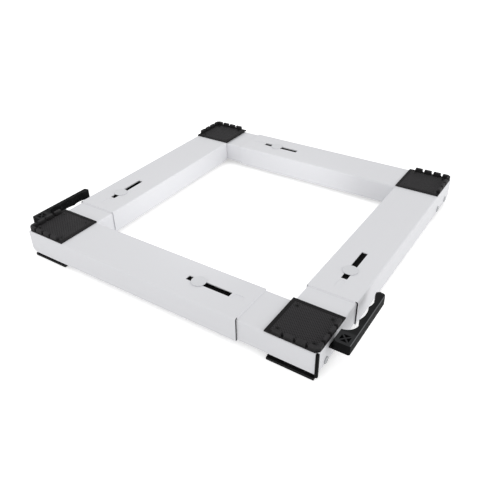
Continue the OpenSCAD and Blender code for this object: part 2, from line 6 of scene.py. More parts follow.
import bpy
from bpy.props import FloatProperty, FloatVectorProperty, IntProperty, PointerProperty
from mathutils import Matrix, Vector


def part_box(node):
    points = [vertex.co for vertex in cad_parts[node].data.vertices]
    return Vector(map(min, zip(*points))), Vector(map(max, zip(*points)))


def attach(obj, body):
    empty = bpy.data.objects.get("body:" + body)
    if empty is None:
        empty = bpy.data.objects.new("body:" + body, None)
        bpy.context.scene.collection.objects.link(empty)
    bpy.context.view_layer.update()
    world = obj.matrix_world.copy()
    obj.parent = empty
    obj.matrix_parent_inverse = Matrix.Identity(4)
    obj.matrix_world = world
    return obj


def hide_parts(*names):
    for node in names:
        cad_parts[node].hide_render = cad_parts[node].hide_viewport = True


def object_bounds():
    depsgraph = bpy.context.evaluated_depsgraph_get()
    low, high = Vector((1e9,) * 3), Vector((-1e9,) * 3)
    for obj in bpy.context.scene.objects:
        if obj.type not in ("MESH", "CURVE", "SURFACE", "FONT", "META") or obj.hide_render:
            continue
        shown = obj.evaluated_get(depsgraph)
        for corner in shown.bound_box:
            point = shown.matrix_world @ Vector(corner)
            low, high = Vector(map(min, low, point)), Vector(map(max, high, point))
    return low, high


bl_info = {
    "name": "Washing machine stand",
    "version": (1, 0, 0),
    "blender": (4, 5, 0),
    "location": "3D view > Sidebar > Stand",
    "description": "Finishes, moulded pieces, lights and camera for a telescoping washing machine stand",
    "category": "Object",
}

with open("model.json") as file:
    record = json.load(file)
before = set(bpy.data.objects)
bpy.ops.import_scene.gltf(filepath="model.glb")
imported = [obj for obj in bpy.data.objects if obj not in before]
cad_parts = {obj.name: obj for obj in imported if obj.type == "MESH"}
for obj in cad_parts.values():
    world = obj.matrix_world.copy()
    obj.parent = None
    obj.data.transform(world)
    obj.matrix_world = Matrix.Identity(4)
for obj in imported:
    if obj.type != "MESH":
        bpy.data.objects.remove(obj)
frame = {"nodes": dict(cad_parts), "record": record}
CAD_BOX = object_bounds()
MM = 0.001
CORNERS = {
    "front_left": (-1, -1),
    "front_right": (1, -1),
    "back_left": (-1, 1),
    "back_right": (1, 1),
}
BELOW_PAD = {
    "front_left": (True, False),
    "front_right": (False, False),
    "back_left": (False, True),
    "back_right": (True, True),
}
HALF_WIDTH = -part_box("left_rail_sleeve")[0].x
HALF_DEPTH = -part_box("front_rail_sleeve")[0].y
RAIL_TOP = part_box("front_rail_sleeve")[1].z
CHANNEL_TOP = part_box("front_rail_channel")[1].z
LEVER_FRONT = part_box("front_left_lever")[0].y
LEVER_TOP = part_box("front_left_lever")[1].z
PAD_TOP = 55.4 * MM
EDGE = 0.6 * MM
PAD_CUT = 6 * MM


# Sizes and colours that a user would change


class StandSizes(bpy.types.PropertyGroup):
    """Sizes of the moulded pieces' finer forms."""

    pad_side: FloatProperty(name="Pad side", description="Side of a corner pad", default=88 * MM, unit="LENGTH")
    border: FloatProperty(
        name="Pad border", description="Width of the smooth border of a pad", default=6.2 * MM, unit="LENGTH"
    )
    grain_pitch: FloatProperty(
        name="Grain pitch", description="Size of one diamond of the pad's grain", default=3.2 * MM, unit="LENGTH"
    )
    grain_height: FloatProperty(
        name="Grain height", description="Height of one diamond of the pad's grain", default=0.55 * MM, unit="LENGTH"
    )
    tooth_height: FloatProperty(
        name="Tooth height", description="Height of the teeth above the pad", default=7 * MM, unit="LENGTH"
    )
    tooth_pitch: FloatProperty(
        name="Tooth pitch", description="Distance between two teeth", default=19.3 * MM, unit="LENGTH"
    )
    tooth_count: IntProperty(name="Teeth", description="Teeth on each outer edge", default=4, min=1, max=4)
    screw_in: FloatProperty(
        name="Screw place", description="Pad screws' distance from the pad's sides", default=14.5 * MM, unit="LENGTH"
    )
    lever_edge: FloatProperty(
        name="Lever edge", description="Radius of the levers' edges", default=0.9 * MM, unit="LENGTH"
    )


class StandFinishes(bpy.types.PropertyGroup):
    """Colours of the finishes."""

    rail_white: FloatVectorProperty(
        name="Rail paint", description="Powder coat of the rails", subtype="COLOR", default=(0.745, 0.748, 0.772)
    )
    knob_white: FloatVectorProperty(
        name="Knob white", description="Plastic of the lock knobs", subtype="COLOR", default=(0.685, 0.692, 0.715)
    )
    pad_black: FloatVectorProperty(
        name="Pad rubber", description="Rubber of the corner pads", subtype="COLOR", default=(0.0085, 0.0082, 0.0086)
    )
    lever_black: FloatVectorProperty(
        name="Lever plastic",
        description="Plastic of levers and blocks",
        subtype="COLOR",
        default=(0.018, 0.0184, 0.019),
    )
    zinc_grey: FloatVectorProperty(
        name="Zinc", description="Plated steel of axles and bolts", subtype="COLOR", default=(0.44, 0.45, 0.46)
    )
    roller_grey: FloatVectorProperty(
        name="Roller nylon", description="Nylon of the rollers", subtype="COLOR", default=(0.22, 0.22, 0.225)
    )


class StandStage(bpy.types.PropertyGroup):
    """Camera and lights."""

    lens: FloatProperty(name="Lens", description="Focal length in millimetres", default=42.193)
    distance: FloatProperty(name="Distance", description="Camera to target", default=1.1000156, unit="LENGTH")
    azimuth: FloatProperty(
        name="Azimuth", description="Camera's place round the stand", default=0.6007, subtype="ANGLE"
    )
    elevation: FloatProperty(
        name="Elevation", description="Camera above the floor", default=0.5825, subtype="ANGLE"
    )
    roll: FloatProperty(name="Roll", description="Turn of the camera", default=-0.0249, subtype="ANGLE")
    sky: FloatProperty(name="Sky", description="Strength of the even light all round", default=0.80)
    key: FloatProperty(name="Key", description="Large lamp in front, in watts", default=5.8)
    side: FloatProperty(name="Side", description="Large lamp on the right, in watts", default=9.5)
    inner: FloatProperty(name="Inner", description="Small low lamp between the rails, in watts", default=0.26)
    glow: FloatProperty(name="Glow", description="Light that the floor gives to the stand", default=0.50)
    target: FloatVectorProperty(
        name="Target", description="Point that the camera looks at", subtype="XYZ", default=(0.0064306, -0.0564514, 0.0)
    )


# Shader nodes


class Wire:
    """A socket that takes part in sums as a number."""

    def __init__(self, finish, socket):
        self.finish, self.socket = finish, socket

    def sum(self, operation, first, second):
        return self.finish.add("ShaderNodeMath", {"operation": operation}, [first, second])

    def __add__(self, other):
        return self.sum("ADD", self, other)

    def __radd__(self, other):
        return self.sum("ADD", other, self)

    def __sub__(self, other):
        return self.sum("SUBTRACT", self, other)

    def __rsub__(self, other):
        return self.sum("SUBTRACT", other, self)

    def __mul__(self, other):
        return self.sum("MULTIPLY", self, other)

    def __rmul__(self, other):
        return self.sum("MULTIPLY", other, self)


class Finish:
    """A material, or the world, and the nodes that make it."""

    def __init__(self, name, block=None, output="ShaderNodeOutputMaterial"):
        self.block = block or bpy.data.materials.new(name)
        self.block.use_nodes = True
        self.tree = self.block.node_tree
        self.tree.nodes.clear()
        self.output = self.tree.nodes.new(output)

    def add(self, kind, settings=None, inputs=(), output=0):
        node = self.tree.nodes.new(kind)
        for key, value in (settings or {}).items():
            setattr(node, key, value)
        pairs = inputs.items() if isinstance(inputs, dict) else enumerate(inputs)
        for key, value in pairs:
            if isinstance(value, Wire):
                self.tree.links.new(value.socket, node.inputs[key])
            else:
                node.inputs[key].default_value = value
        return Wire(self, node.outputs[output])

    def noise(self, scale, detail=2.0, stretch=(1, 1, 1), roughness=0.5):
        place = self.add("ShaderNodeTexCoord", output="Object")
        place = self.add("ShaderNodeMapping", {}, {"Vector": place, "Scale": stretch})
        values = {"Vector": place, "Scale": scale, "Detail": detail, "Roughness": roughness}
        return self.add("ShaderNodeTexNoise", {}, values)

    def part(self, place, axis):
        """One axis of the object's own coordinates or normals."""
        place = self.add("ShaderNodeTexCoord", output=place)
        return self.add("ShaderNodeSeparateXYZ", {}, [place], output=axis)

    def ramp(self, value, low, high, to_low=0.0, to_high=1.0):
        values = {"Value": value, "From Min": low, "From Max": high, "To Min": to_low, "To Max": to_high}
        return self.add("ShaderNodeMapRange", {"clamp": True}, values)

    def mix(self, factor, first, second):
        first, second = (c if isinstance(c, Wire) else (*c, 1.0) for c in (first, second))
        return self.add("ShaderNodeMix", {"data_type": "RGBA"}, {0: factor, 6: first, 7: second}, output=2)

    def bump(self, height, distance, strength=1.0):
        return self.add("ShaderNodeBump", {}, {"Height": height, "Distance": distance, "Strength": strength})

    def surface(self, **values):
        """Principled surface: an underscore in a name stands for a space."""
        inputs = {name.replace("_", " "): value for name, value in values.items()}
        return self.show(self.add("ShaderNodeBsdfPrincipled", {}, inputs))

    def show(self, shader):
        self.tree.links.new(shader.socket, self.output.inputs["Surface"])
        return self.block

    def seen(self):
        """1 where the camera, a mirror or glass looks, 0 for light."""
        camera, glossy, through = (
            self.add("ShaderNodeLightPath", output=name)
            for name in ("Is Camera Ray", "Is Glossy Ray", "Is Transmission Ray")
        )
        return self.ramp(camera + glossy + through, 0.0, 1.0)


def shade(colour, factor):
    return tuple(min(1.0, part * factor) for part in colour)


def powder_coat(colour):
    """White powder coat: fine orange peel, slow tone changes and faint rub marks."""
    finish = Finish("powder_coat")
    slow = finish.noise(5.0)
    rubs = finish.ramp(finish.noise(26.0, 5.0, (1.0, 1.0, 4.0), 0.7), 0.62, 0.80)
    tone = finish.mix(slow, shade(colour, 0.985), shade(colour, 1.015))
    tone = finish.mix(rubs * 0.30, tone, shade(colour, 0.96))
    peel = finish.noise(620.0) + 0.4 * finish.noise(1900.0, 1.0)
    return finish.surface(
        Base_Color=tone,
        Roughness=finish.ramp(slow, 0.3, 0.7, 0.42, 0.48) + rubs * 0.10,
        Normal=finish.bump(peel, 0.00004, 0.5),
        Specular_IOR_Level=0.4,
    )


def knob_plastic(colour):
    """White moulded plastic of the lock knobs."""
    finish = Finish("knob_plastic")
    slow = finish.noise(40.0)
    return finish.surface(
        Base_Color=finish.mix(slow, shade(colour, 0.97), shade(colour, 1.02)),
        Roughness=finish.ramp(slow, 0.3, 0.7, 0.32, 0.40),
        Normal=finish.bump(finish.noise(800.0), 0.00002, 0.4),
    )


def lever_tone_and_painted_light(finish, tone, colour):
    """Painted shade on the sides that do not face up, dust and painted light on the hub's flat top, painted shade in
    the star pocket and a painted highlight along the outer top edge.
    """
    hub_back, pocket_floor = LEVER_FRONT + 24 * MM, LEVER_TOP - 2.2 * MM
    per_reach = 3.2
    upwards = finish.part("Normal", "Z")
    outwards = finish.part("Normal", "X") * finish.part("Object", "X") * per_reach
    flat = finish.ramp(upwards, 0.8, 0.95)
    hub = flat * finish.ramp(finish.part("Object", "Y"), hub_back, hub_back + 4 * MM, 1.0, 0.0)
    pocket = flat * finish.ramp(finish.part("Object", "Z"), pocket_floor, pocket_floor + 1 * MM, 1.0, 0.0)
    # Mask of the painted highlight: outward and upward faces along the outer top edge.
    edge = finish.ramp(outwards, 0.35, 0.6) * finish.ramp(upwards, 0.2, 0.45)
    # Painted shade: faces that do not face up are darkened, standing in for light that falls mostly on the tops.
    tone = finish.mix(finish.ramp(upwards, 0.1, 0.3, 0.6, 0.0), tone, shade(colour, 0.3))
    # Dust and painted light: the hub's flat top faces are made lighter.
    tone = finish.mix(hub, tone, shade(colour, 1.9))
    # Painted shade in the star pocket.
    tone = finish.mix(pocket, tone, shade(colour, 0.12))
    # Painted highlight: a lighter line along the lever's outer top edge.
    return finish.mix(edge, tone, shade(colour, 7.0))


def moulded_plastic(name, colour, roughness, shine=0.08, lever=False):
    """Moulded plastic: fine spark grain and a little shine where hands rub it."""
    finish = Finish(name)
    slow = finish.noise(18.0, 3.0)
    handled = finish.ramp(finish.noise(60.0, 4.0, (1, 1, 1), 0.65), 0.52, 0.75)
    tone = finish.mix(slow, shade(colour, 0.85), shade(colour, 1.25))
    tone = finish.mix(handled * 0.5, tone, shade(colour, 1.8))
    # On the levers, painted shade, painted light and a painted highlight are added to the tone.
    if lever:
        tone = lever_tone_and_painted_light(finish, tone, colour)
    return finish.surface(
        Base_Color=tone,
        Roughness=roughness - 0.10 * handled + (slow - 0.5) * 0.08,
        Normal=finish.bump(finish.noise(1500.0), 0.00005, 0.6),
        Specular_IOR_Level=shine,
    )


def dull_rubber(name, colour, pad=False):
    """Dull rubber with a bloom in patches and, on the pads, dust low in the grain and worn teeth."""
    finish = Finish(name)
    bloom = finish.ramp(finish.noise(34.0, 5.0, (1, 1, 1), 0.62), 0.42, 0.72)
    fine = finish.noise(900.0)
    tone = finish.mix(bloom, shade(colour, 0.85), shade(colour, 1.45))
    tone = finish.mix(fine * 0.3, tone, shade(colour, 1.7))
    if pad:
        height = finish.part("Object", "Z")
        low = finish.ramp(height, PAD_TOP - 0.50 * MM, PAD_TOP - 0.20 * MM, 1.0, 0.0)
        low = low * finish.ramp(height, PAD_TOP - 0.75 * MM, PAD_TOP - 0.62 * MM)
        tone = finish.mix(low, tone, shade(colour, 5.0))
        worn = finish.ramp(height, PAD_TOP + 1.5 * MM, PAD_TOP + 6.5 * MM) * finish.ramp(bloom, 0.0, 1.0, 0.5, 1.0)
        tone = finish.mix(worn, tone, shade(colour, 5.0))
    return finish.surface(
        Base_Color=tone,
        Roughness=0.56 + bloom * 0.16,
        Normal=finish.bump(fine, 0.00005, 0.5),
        Specular_IOR_Level=0.10,
    )


def plated_steel(name, colour, metallic, shine=0.5):
    """Plated steel with turning marks and slight clouding."""
    finish = Finish(name)
    cloud = finish.noise(160.0, 4.0, (1, 1, 1), 0.6)
    return finish.surface(
        Base_Color=finish.mix(cloud, shade(colour, 0.82), shade(colour, 1.1)),
        Metallic=metallic,
        Roughness=finish.ramp(cloud, 0.3, 0.75, 0.32, 0.50),
        Normal=finish.bump(finish.noise(2200.0, 2.0, (0.15, 1, 1)), 0.00002, 0.6),
        Specular_IOR_Level=shine,
    )


def finishes():
    """Every finish by name, each made once."""
    colours = bpy.context.scene.stand_finishes
    black = colours.lever_black
    makers = {
        "powder_coat": lambda: powder_coat(colours.rail_white),
        "knob_plastic": lambda: knob_plastic(colours.knob_white),
        "lever_plastic": lambda: moulded_plastic("lever_plastic", black, 0.34, shine=0.004, lever=True),
        "block_plastic": lambda: moulded_plastic("block_plastic", shade(black, 0.30), 0.45, shine=0.03),
        "rack_plastic": lambda: moulded_plastic("rack_plastic", shade(black, 0.25), 0.55),
        "moulded_nylon": lambda: moulded_plastic("moulded_nylon", colours.roller_grey, 0.45, shine=0.5),
        "grained_rubber": lambda: dull_rubber("grained_rubber", colours.pad_black, pad=True),
        "smooth_rubber": lambda: dull_rubber("smooth_rubber", shade(colours.pad_black, 0.7)),
        "zinc_steel": lambda: plated_steel("zinc_steel", colours.zinc_grey, 0.8),
        "black_steel": lambda: plated_steel("black_steel", shade(colours.zinc_grey, 0.025), 0.2, 0.12),
    }
    return {name: bpy.data.materials.get(name) or make() for name, make in makers.items()}


# Mesh tools


def alone(piece=None):
    """Leaves only that piece selected and active, in object mode."""
    if bpy.context.object and bpy.context.object.mode != "OBJECT":
        bpy.ops.object.mode_set(mode="OBJECT")
    bpy.ops.object.select_all(action="DESELECT")
    if piece:
        bpy.context.view_layer.objects.active = piece
        piece.select_set(True)
    return piece


def settled():
    """Puts the new primitive's place, turn and scale into its mesh."""
    bpy.ops.object.transform_apply(location=True, rotation=True, scale=True)
    return bpy.context.object


def block(low, high):
    """A cuboid between two corners."""
    low, high = Vector(low), Vector(high)
    alone()
    bpy.ops.mesh.primitive_cube_add(size=1, location=(low + high) / 2)
    bpy.context.object.scale = high - low
    return settled()


def rod(centre, radius, height, top=None, sides=48, turn=(0, 0, 0)):
    """A round bar about its centre, or a cone where the far end has another radius."""
    alone()
    bpy.ops.mesh.primitive_cone_add(
        vertices=sides,
        radius1=radius,
        radius2=radius if top is None else top,
        depth=height,
        location=centre,
        rotation=turn,
    )
    return settled()


def pick(piece, kind, test):
    """Enters edit mode with the faces, edges or points whose place passes the test."""
    alone(piece)
    mesh = piece.data
    for parts in (mesh.vertices, mesh.edges, mesh.polygons):
        parts.foreach_set("select", [False] * len(parts))
    if kind == "faces":
        for face in mesh.polygons:
            face.select = test(face.center, face.normal)
    elif kind == "edges":
        for edge in mesh.edges:
            edge.select = test(*(mesh.vertices[i].co for i in edge.vertices))
    else:
        for point in mesh.vertices:
            point.select = test(point.co)
    bpy.context.tool_settings.mesh_select_mode = (kind == "points", kind == "edges", kind == "faces")
    bpy.ops.object.mode_set(mode="EDIT")


def pick_all(piece):
    pick(piece, "points", lambda co: True)


def done():
    bpy.ops.object.mode_set(mode="OBJECT")


def tidied(piece):
    """Merges doubles and turns every face outwards."""
    pick_all(piece)
    bpy.ops.mesh.remove_doubles(threshold=1e-6)
    bpy.ops.mesh.normals_make_consistent(inside=False)
    done()
    return piece


def modified(piece, kind, **settings):
    """Adds a modifier and applies it."""
    alone(piece)
    modifier = piece.modifiers.new(kind, kind)
    for key, value in settings.items():
        setattr(modifier, key, value)
    bpy.ops.object.modifier_apply(modifier=modifier.name)
    return piece


def rounded(piece, width, segments=2, angle=30):
    limit = math.radians(angle)
    return modified(piece, "BEVEL", width=width, segments=segments, limit_method="ANGLE", angle_limit=limit)


def cut(piece, *cutters, operation="DIFFERENCE"):
    for cutter in cutters:
        modified(piece, "BOOLEAN", object=cutter, operation=operation, solver="EXACT")
        bpy.data.objects.remove(cutter)
    return piece


def joined(first, *others):
    alone(first)
    for piece in others:
        piece.select_set(True)
    bpy.ops.object.join()
    return first


def copied(piece, place=Matrix.Identity(4)):
    """A copy with its own mesh, put in place by a matrix."""
    twin = piece.copy()
    twin.data = piece.data.copy()
    bpy.context.scene.collection.objects.link(twin)
    twin.data.transform(place)
    if place.determinant() < 0:
        twin.data.flip_normals()
    return twin


def taken(node):
    """A free copy of one of the frame's nodes, without its tags."""
    piece = copied(frame["nodes"][node])
    for key in list(piece.keys()):
        del piece[key]
    piece.parent = None
    return tidied(piece)


def gone(*pieces):
    for piece in pieces:
        bpy.data.objects.remove(piece)


def smooth(piece, angle=32):
    alone(piece)
    bpy.ops.object.shade_smooth_by_angle(angle=math.radians(angle))
    return modified(piece, "WEIGHTED_NORMAL", keep_sharp=True)


def moved(x, y, z=0.0):
    return Matrix.Translation((x, y, z))


SWAP = Matrix(((0, 1, 0, 0), (1, 0, 0, 0), (0, 0, 1, 0), (0, 0, 0, 1)))


def at_corner(corner):
    """From a corner's own measures, inwards from the outer faces, to the stand's."""
    sx, sy = CORNERS[corner]
    return moved(sx * HALF_WIDTH, sy * HALF_DEPTH) @ Matrix.Diagonal((-sx, -sy, 1, 1))


def body_of(node):
    """The body that carries a node."""
    return next(name for name, nodes in frame["record"]["behaviour"]["bodies"].items() if node in nodes)


def dress(piece, name, node, finish, instead=True):
    """Names a finished piece and gives it its finish and its body, and takes the node's place or joins it."""
    piece.name = name
    piece.data.name = name
    piece.data.materials.clear()
    piece.data.materials.append(finish)
    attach(piece, body_of(node))
    if instead:
        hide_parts(node)
    return piece


# Pieces


def pad_blank(sizes):
    """Plate with a sunk field inside a smooth border, and the outer corner cut off."""
    side, sunk = sizes.pad_side, 0.6 * MM
    plate = block((EDGE, EDGE, RAIL_TOP), (side, side, PAD_TOP))
    pick(plate, "edges", lambda a, b: max(a.x, a.y, b.x, b.y) < EDGE + 1e-5)
    bpy.ops.mesh.bevel(offset=PAD_CUT, segments=1, affect="EDGES")
    done()
    pick(plate, "faces", lambda co, normal: normal.z > 0.9)
    bpy.ops.mesh.inset(thickness=sizes.border, depth=0)
    bpy.ops.mesh.inset(thickness=0.35 * MM, depth=-sunk)
    done()
    return plate


def diamond_field(sizes):
    """Field of low diamonds, laid in the plate's sunk field."""
    pitch, low, high = sizes.grain_pitch, sizes.border + 1.3 * MM, sizes.pad_side - sizes.border - 0.6 * MM
    floor, middle = PAD_TOP - 0.58 * MM, sizes.pad_side / 2
    count = int(1.5 * (high - low) / pitch) + 2
    alone()
    bpy.ops.mesh.primitive_grid_add(
        x_subdivisions=count,
        y_subdivisions=count,
        size=count * pitch,
        location=(middle, middle, floor),
        rotation=(0, 0, math.radians(45)),
    )
    field = settled()
    sides = (
        ((low, 0, 0), (-1, 0, 0)),
        ((high, 0, 0), (1, 0, 0)),
        ((0, low, 0), (0, -1, 0)),
        ((0, high, 0), (0, 1, 0)),
    )
    for place, normal in sides:
        pick_all(field)
        bpy.ops.mesh.bisect(plane_co=place, plane_no=normal, clear_outer=True)
        done()
    pick_all(field)
    bpy.ops.mesh.extrude_region_move(TRANSFORM_OT_translate={"value": (0, 0, -0.3 * MM)})
    done()
    tidied(field)
    inner = 0.3 * pitch
    inside = lambda at: low + inner < at < high - inner
    pick(field, "faces", lambda co, normal: normal.z > 0.9 and inside(co.x) and inside(co.y))
    bpy.ops.mesh.poke(offset=sizes.grain_height)
    done()
    return field


def tooth(sizes):
    """One tooth: a block that narrows upwards, with a small step along its inner foot."""
    deep, top, low = 6 * MM, PAD_TOP + sizes.tooth_height, PAD_TOP - 1 * MM
    base, tip, step_in = 16.6 * MM, 14 * MM, 1.2 * MM
    piece = block((-base / 2, EDGE, low), (base / 2, EDGE + deep, top))
    pick(piece, "faces", lambda co, normal: normal.z > 0.9)
    bpy.ops.transform.resize(value=(tip / base, 0.90, 1), center_override=(0, EDGE, top))
    done()
    rounded(piece, 0.5 * MM, 2)
    half, back = base / 2 - step_in, EDGE + deep
    step = block((-half, back - 1 * MM, low), (half, back + 1.3 * MM, PAD_TOP + 2.2 * MM))
    rounded(step, 0.6 * MM, 2)
    return cut(piece, step, operation="UNION")


def tooth_rows(sizes):
    """Both rows of teeth, with the corner teeth cut off with the plate."""
    one = tooth(sizes)
    row = [copied(one, moved((k + 0.5) * sizes.tooth_pitch, 0)) for k in range(sizes.tooth_count)]
    row += [copied(piece, SWAP) for piece in row]
    corner = block((0, 0, RAIL_TOP), (sizes.pad_side, sizes.pad_side, PAD_TOP + 20 * MM))
    pick(corner, "edges", lambda a, b: max(a.x, a.y, b.x, b.y) < 1e-5)
    bpy.ops.mesh.bevel(offset=PAD_CUT + 2 * EDGE, segments=1, affect="EDGES")
    done()
    cut(row[0], row.pop(sizes.tooth_count), operation="UNION")
    cut(row[0], corner, operation="INTERSECT")
    gone(one)
    return row


def pad_filler(low, high):
    """Half of the corner square that carries the pad over a channel's lower top."""
    start, end, gap = 5 * MM, 86 * MM, 0.05 * MM
    piece = block((start, start, low), (end, end, high))
    pick_all(piece)
    bpy.ops.mesh.bisect(plane_co=(gap, 0, 0), plane_no=(-1, 1, 0), clear_outer=True, use_fill=True)
    done()
    return piece


class STAND_OT_sleeve_ends(bpy.types.Operator):
    """Models the sleeves' ends: a sloped hem down to the channel and a black strip on the outer edge, a painted shadow
    of the seam's gap
    """

    bl_idname = "stand.sleeve_ends"
    bl_label = "Sleeve ends"

    def execute(self, context):
        made = finishes()
        for side, along, outwards in (("front", 0, -1), ("right", 1, 1), ("left", 1, -1), ("back", 0, 1)):
            node = side + "_rail_sleeve"
            low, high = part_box(node)
            end, towards = (high[along], 1) if abs(high[along]) < abs(low[along]) else (low[along], -1)
            hem = self.hem(along, end, towards, low, high)
            smooth(dress(hem, side + "_sleeve_hem", node, made["powder_coat"], instead=False))
            # A black strip put where the seam's gap casts its shadow: painted shadow.
            painted_shadow_strip = self.painted_shadow_strip(node, along, end, towards, outwards)
            smooth(dress(painted_shadow_strip, side + "_sleeve_painted_shadow_strip", node, made["block_plastic"], instead=False))
        return {"FINISHED"}

    def hem(self, along, end, towards, low, high):
        """Two blocks on the channel: one under the sleeve's top, and one before it whose far edge slopes down."""
        side_gap, under, front = 3.1 * MM, 4 * MM, 1.6 * MM
        across, parts = 1 - along, []
        for start, stop, down in ((end - towards * under, end, 1.0 * MM), (end, end + towards * front, 0.1 * MM)):
            one, two = Vector(low), Vector(high)
            one[across] += side_gap
            two[across] -= side_gap
            one[along], two[along] = sorted((start, stop))
            one.z, two.z = CHANNEL_TOP + 0.06 * MM, RAIL_TOP - down
            parts.append(block(one, two))
        far = end + towards * (front - 0.1 * MM)
        pick(parts[1], "points", lambda co: co.z > CHANNEL_TOP + MM and (co[along] - far) * towards > 0)
        bpy.ops.transform.translate(value=(0, 0, CHANNEL_TOP + 0.2 * MM - (RAIL_TOP - 0.1 * MM)))
        done()
        return joined(*parts)

    def painted_shadow_strip(self, node, along, end, towards, outwards):
        """The sleeve's last bit along its outer edge, moved out by a little more than its own length; finished black,
        it is a painted shadow at the seam.
        """
        length, shift_by, from_edge, from_below = 0.7 * MM, 0.72 * MM, 4.5 * MM, 2 * MM
        across, low_high = 1 - along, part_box(node)
        edge = low_high[1] if outwards > 0 else low_high[0]
        strip = taken(node)
        self.keep(strip, along, end - towards * length, -towards)
        self.keep(strip, across, edge[across] - outwards * from_edge, -outwards)
        self.keep(strip, 2, low_high[0].z + from_below, -1)
        shift = Vector((0, 0, 0))
        shift[along] = towards * shift_by
        strip.data.transform(Matrix.Translation(shift))
        return tidied(strip)

    def keep(self, piece, axis, at, way):
        """Cuts away what lies past a place on an axis and closes the cut."""
        place, normal = Vector((0, 0, 0)), Vector((0, 0, 0))
        place[axis], normal[axis] = at, way
        pick_all(piece)
        bpy.ops.mesh.bisect(plane_co=place, plane_no=normal, clear_outer=True, use_fill=True)
        done()


class STAND_OT_pads(bpy.types.Operator):
    """Models the four corner pads with their grain, border and teeth"""

    bl_idname = "stand.pads"
    bl_label = "Corner pads"

    def execute(self, context):
        sizes, rubber = context.scene.stand_sizes, finishes()["grained_rubber"]
        plate, field = pad_blank(sizes), diamond_field(sizes)
        places = (sizes.screw_in, sizes.pad_side - sizes.screw_in)
        for x, y in ((x, y) for x in places for y in places):
            cut(plate, rod((x, y, RAIL_TOP), 2.1 * MM, 12 * MM, sides=24))
            cut(plate, rod((x, y, PAD_TOP - 0.9 * MM), 2.0 * MM, 2.2 * MM, 4.0 * MM, sides=32))
            cut(field, rod((x, y, PAD_TOP), 4.3 * MM, 4 * MM, sides=32))
        joined(plate, field, *tooth_rows(sizes))
        half = pad_filler(CHANNEL_TOP, RAIL_TOP + 0.2 * MM)
        for corner, (x_sleeve, y_sleeve) in BELOW_PAD.items():
            halves = [] if x_sleeve else [copied(half)]
            if not y_sleeve:
                halves.append(copied(half, SWAP))
            built = joined(copied(plate), *halves)
            piece = copied(built, at_corner(corner))
            gone(built)
            smooth(dress(piece, corner + "_rubber_pad", corner + "_pad", rubber), 25)
        gone(plate, half)
        return {"FINISHED"}


class STAND_OT_pad_screws(bpy.types.Operator):
    """Models the countersunk screws with their cross recesses"""

    bl_idname = "stand.pad_screws"
    bl_label = "Pad screws"

    def execute(self, context):
        sizes, steel = context.scene.stand_sizes, finishes()["black_steel"]
        top, low = PAD_TOP - 0.1 * MM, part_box("front_left_pad_screws")[0].z
        head = rod((0, 0, top - 0.85 * MM), 1.8 * MM, 1.7 * MM, 3.55 * MM, sides=40)
        rounded(head, 0.12 * MM, 2)
        for across in ((1, 0.32, 1), (0.32, 1, 1)):
            wing = rod((0, 0, top - 0.7 * MM), 0.5 * MM, 1.5 * MM, 2.6 * MM, sides=4, turn=(0, 0, math.pi / 4))
            pick_all(wing)
            bpy.ops.transform.resize(value=across, center_override=(0, 0, top))
            done()
            cut(head, wing)
        foot = top - 1.65 * MM
        shank = rod((0, 0, (low + foot) / 2), 1.8 * MM, foot - low, sides=24)
        rounded(shank, 0.3 * MM, 1)
        screw = joined(head, shank)
        places = (sizes.screw_in, sizes.pad_side - sizes.screw_in)
        for corner in CORNERS:
            four = [copied(screw, at_corner(corner) @ moved(x, y)) for x in places for y in places]
            dress(joined(*four), corner + "_countersunk_screws", corner + "_pad_screws", steel)
            smooth(four[0])
        gone(screw)
        return {"FINISHED"}


class STAND_OT_levers(bpy.types.Operator):
    """Finishes the two swing levers with rounded edges"""

    bl_idname = "stand.levers"
    bl_label = "Swing levers"

    def execute(self, context):
        sizes, plastic = context.scene.stand_sizes, finishes()["lever_plastic"]
        for corner in ("front_left", "front_right"):
            node = corner + "_lever"
            lever = taken(node)
            pick_all(lever)
            bpy.ops.mesh.dissolve_limited(angle_limit=math.radians(1.5))
            done()
            rounded(lever, sizes.lever_edge, 2, 32)
            smooth(dress(lever, corner + "_moulded_lever", node, plastic))
        return {"FINISHED"}


class STAND_OT_knobs(bpy.types.Operator):
    """Models the four lock knobs with a soft rim and a shallow dished face"""

    bl_idname = "stand.knobs"
    bl_label = "Lock knobs"

    def execute(self, context):
        plastic = finishes()["knob_plastic"]
        for side in ("front", "right", "left", "back"):
            node = side + "_lock_knob"
            low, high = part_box(node)
            x, y = (low.x + high.x) / 2, (low.y + high.y) / 2
            base = RAIL_TOP + 0.2 * MM
            height = high.z - base
            disc = rod((x, y, base + height / 2), (high.x - low.x) / 2, height, sides=96)
            rounded(disc, 0.4 * height, 4)
            pick(disc, "faces", lambda co, normal: normal.z > 0.99)
            bpy.ops.mesh.inset(thickness=1.2 * MM, depth=0)
            bpy.ops.mesh.inset(thickness=1.0 * MM, depth=-0.25 * MM)
            done()
            stem = rod((x, y, (low.z + base) / 2 + 0.2 * MM), 2.5 * MM, base - low.z + 0.4 * MM, sides=24)
            rounded(stem, 0.3 * MM, 1)
            smooth(dress(joined(disc, stem), side + "_round_knob", node, plastic))
        return {"FINISHED"}


